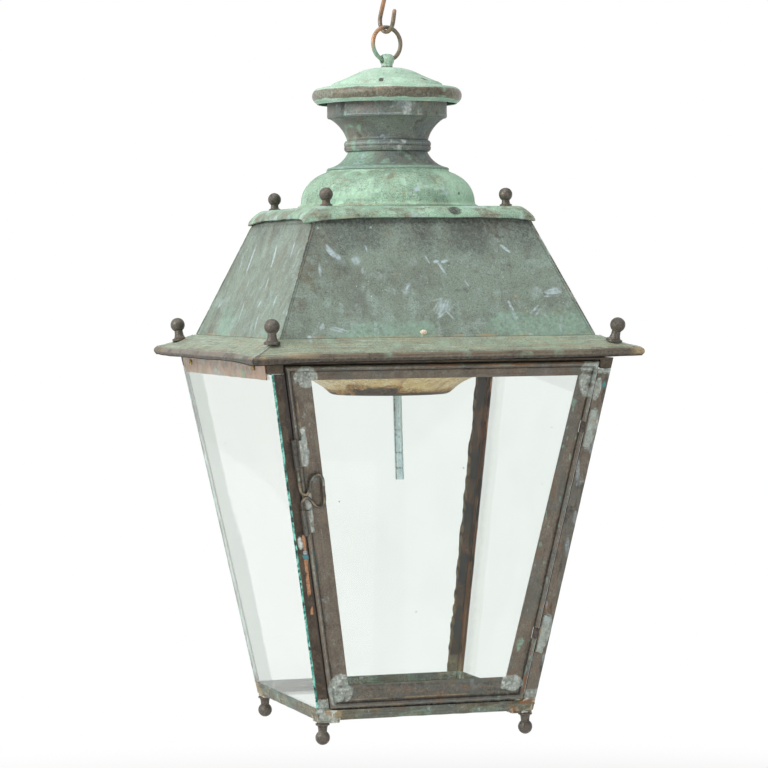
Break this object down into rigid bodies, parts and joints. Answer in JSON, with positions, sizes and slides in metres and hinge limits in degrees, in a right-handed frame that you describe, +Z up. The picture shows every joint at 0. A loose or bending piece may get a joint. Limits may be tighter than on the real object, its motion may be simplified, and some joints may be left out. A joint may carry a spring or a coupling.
{
  "type": "hanging lantern",
  "caption": "Square tapering copper hanging lantern with a chimney crown, hinged glazed door, wire handle and S-hook.",
  "frame": {"origin": "the point that the lantern hangs from: the inside of the S-hook's upper bend", "axes": "+Z up along the lantern's axis, +X to the right along the door's face, the door faces -Y"},
  "size_m": [0.4498, 0.4498, 0.8978],
  "materials": {
    "verdigris_copper": "pale green verdigris mottled brown, dull",
    "grey_patina_copper": "grey-green weathered patina with pale streaks, dull",
    "brown_patina_copper": "brown-grey weathered patina, dull",
    "bright_copper": "rubbed pinkish copper",
    "dark_cast_brass": "dark grey-brown, rubbed",
    "yellow_brass": "tarnished brass",
    "clear_glass": "clear with a green edge and fine specks",
    "cream_enamel": "ivory enamel on steel, stained, with a rusty edge",
    "zinc_steel": "bluish zinc plate",
    "rusty_steel": "dark steel, lightly rusted"
  },
  "bodies": {
    "hook": {"suspension_hook": "bright_copper"},
    "ring": {"suspension_ring": "brown_patina_copper"},
    "lantern": {"ring_boss": "verdigris_copper", "chimney_cap": "verdigris_copper", "dome_flare": "verdigris_copper", "crown_dome": "verdigris_copper", "collar_plate": "verdigris_copper", "chimney_throat": "grey_patina_copper", "roof_panel_front": "grey_patina_copper", "roof_panel_right": "grey_patina_copper", "roof_panel_back": "grey_patina_copper", "roof_panel_left": "grey_patina_copper", "eave_front": "grey_patina_copper", "eave_right": "grey_patina_copper", "eave_back": "grey_patina_copper", "eave_left": "grey_patina_copper", "upper_hinge_leaf": "grey_patina_copper", "lower_hinge_leaf": "grey_patina_copper", "neck_ring": "brown_patina_copper", "top_frame": "brown_patina_copper", "bottom_frame": "brown_patina_copper", "corner_post_front_left": "brown_patina_copper", "corner_post_front_right": "brown_patina_copper", "corner_post_back_right": "brown_patina_copper", "corner_post_back_left": "brown_patina_copper", "left_pane_strip": "bright_copper", "collar_finial_front_left": "dark_cast_brass", "collar_finial_front_right": "dark_cast_brass", "collar_finial_back_right": "dark_cast_brass", "collar_finial_back_left": "dark_cast_brass", "eave_finial_front_left": "dark_cast_brass", "eave_finial_front_right": "dark_cast_brass", "eave_finial_back_right": "dark_cast_brass", "eave_finial_back_left": "dark_cast_brass", "ball_foot_front_left": "dark_cast_brass", "ball_foot_front_right": "dark_cast_brass", "ball_foot_back_right": "dark_cast_brass", "ball_foot_back_left": "dark_cast_brass", "upper_hinge_pin": "dark_cast_brass", "lower_hinge_pin": "dark_cast_brass", "strip_screw_front": "yellow_brass", "strip_screw_back": "yellow_brass", "boss_nut": "yellow_brass", "upper_lock_nut": "yellow_brass", "lower_lock_nut": "yellow_brass", "bottom_pane": "clear_glass", "right_pane": "clear_glass", "back_pane": "clear_glass", "left_pane": "clear_glass", "enamel_reflector": "cream_enamel", "lamp_tube": "zinc_steel", "cap_spider": "rusty_steel", "bridge_bar": "rusty_steel", "reflector_strap": "rusty_steel"},
    "door": {"door_frame": "brown_patina_copper", "door_pane": "clear_glass", "upper_handle_sleeve": "brown_patina_copper", "lower_handle_sleeve": "brown_patina_copper"},
    "handle": {"door_handle": "dark_cast_brass"}
  },
  "joints": [
    {"name": "ring_swing", "type": "hinge", "parent": "hook", "child": "ring", "pos_m": [0, 0, -0.0924], "axis": [-0.2807, 0.9598, 0], "range_deg": [-60, 60]},
    {"name": "lantern_swing", "type": "hinge", "parent": "ring", "child": "lantern", "pos_m": [0, 0, -0.1251], "axis": [0.9598, 0.2807, 0], "range_deg": [-60, 60]},
    {"name": "door_hinge", "type": "hinge", "parent": "lantern", "child": "door", "pos_m": [0.145, -0.16311, -0.65913], "axis": [0.1738, -0.1738, 0.9693], "range_deg": [0, 110]},
    {"name": "handle_turn", "type": "hinge", "parent": "door", "child": "handle", "pos_m": [-0.15812, -0.17605, -0.61242], "axis": [0.1738, 0.1738, -0.9693], "range_deg": [0, 100]}
  ]
}
